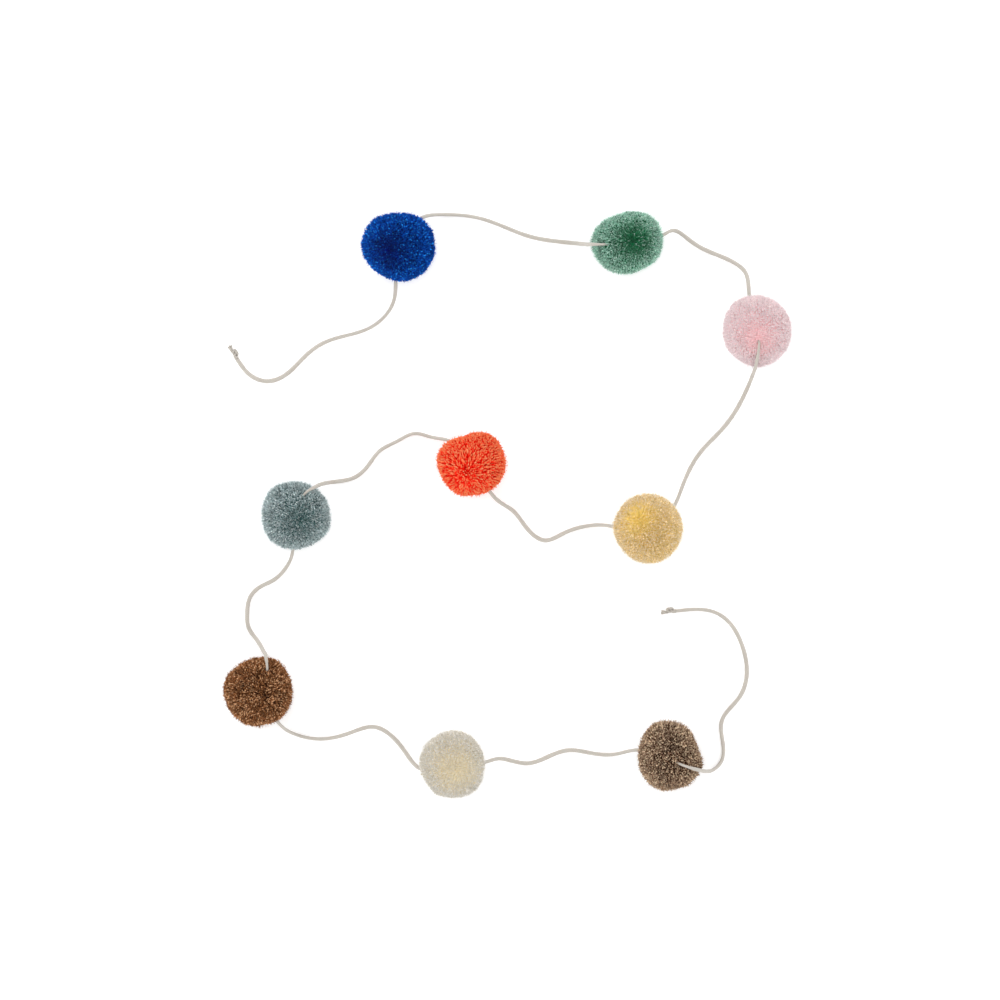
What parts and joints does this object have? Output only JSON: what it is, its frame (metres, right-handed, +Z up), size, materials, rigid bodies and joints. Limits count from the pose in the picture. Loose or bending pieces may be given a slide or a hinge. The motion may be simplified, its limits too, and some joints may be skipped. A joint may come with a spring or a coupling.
{
  "type": "pom-pom garland",
  "caption": "Flat-lying garland of round cut-yarn pom-poms threaded on a thin cotton cord, with a knot at each end.",
  "frame": {"origin": "on the surface that the garland lies on, at the middle of the box round the pom-poms", "axes": "+Z up from the surface, +Y to the top of the laid-out garland as seen from above, +X to its right"},
  "size_m": [0.5658, 0.5845, 0.067],
  "materials": {
    "cotton_cord": "matt off-white knitted cotton cord",
    "blue_yarn": "matt blue cut yarn pile",
    "green_yarn": "matt green cut yarn pile",
    "pink_yarn": "matt pink cut yarn pile",
    "yellow_yarn": "matt yellow cut yarn pile",
    "orange_yarn": "matt orange cut yarn pile",
    "grey_yarn": "matt grey cut yarn pile",
    "brown_yarn": "matt brown cut yarn pile",
    "cream_yarn": "matt cream cut yarn pile",
    "taupe_yarn": "matt taupe cut yarn pile"
  },
  "bodies": {
    "root": {"cord": "cotton_cord", "knot_start": "cotton_cord", "knot_end": "cotton_cord", "pompom_blue": "blue_yarn", "pompom_green": "green_yarn", "pompom_pink": "pink_yarn", "pompom_yellow": "yellow_yarn", "pompom_orange": "orange_yarn", "pompom_grey": "grey_yarn", "pompom_brown": "brown_yarn", "pompom_cream": "cream_yarn", "pompom_taupe": "taupe_yarn"}
  },
  "joints": []
}
